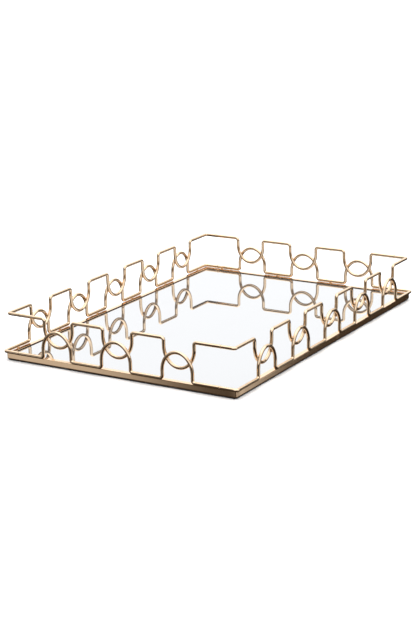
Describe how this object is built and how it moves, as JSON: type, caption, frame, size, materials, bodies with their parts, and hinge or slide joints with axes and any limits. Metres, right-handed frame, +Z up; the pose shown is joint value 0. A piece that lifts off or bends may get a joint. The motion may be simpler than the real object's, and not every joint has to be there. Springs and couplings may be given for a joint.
{
  "type": "mirrored dresser tray",
  "caption": "Rectangular mirrored dresser tray with a gold angle frame, a gallery of two interlaced bent wires forming squares and lens shapes, and a felt-covered base.",
  "frame": {"origin": "centre of the tray's footprint, on the underside of the felt", "axes": "+X along the long side towards the right, +Y from front to back along the short side, +Z up out of the mirror"},
  "size_m": [0.5024, 0.3434, 0.0633],
  "materials": {
    "gold_frame": "polished champagne-gold plating on steel angle, faint drawn grain",
    "gold_wire": "bright champagne-gold plating on round steel wire",
    "silvered_glass": "clear float glass silvered on its underside",
    "foam_tape": "thin white foam mounting tape",
    "hardboard": "hardboard with a black painted face and edges",
    "felt": "short-napped black felt",
    "tab_steel": "plain zinc-bright sheet steel"
  },
  "bodies": {
    "root": {"frame_rail_front": "gold_frame", "frame_rail_back": "gold_frame", "frame_rail_left": "gold_frame", "frame_rail_right": "gold_frame", "upper_wire_front": "gold_wire", "lower_wire_front": "gold_wire", "upper_wire_back": "gold_wire", "lower_wire_back": "gold_wire", "upper_wire_left": "gold_wire", "lower_wire_left": "gold_wire", "upper_wire_right": "gold_wire", "lower_wire_right": "gold_wire", "mirror_plate": "silvered_glass", "foam_tape_1": "foam_tape", "foam_tape_2": "foam_tape", "foam_tape_3": "foam_tape", "foam_tape_4": "foam_tape", "backing_board": "hardboard", "felt_base": "felt", "retaining_tab_front_1": "tab_steel", "retaining_tab_front_2": "tab_steel", "retaining_tab_front_3": "tab_steel", "retaining_tab_back_1": "tab_steel", "retaining_tab_back_2": "tab_steel", "retaining_tab_back_3": "tab_steel", "retaining_tab_left_1": "tab_steel", "retaining_tab_left_2": "tab_steel", "retaining_tab_right_1": "tab_steel", "retaining_tab_right_2": "tab_steel"}
  },
  "joints": []
}
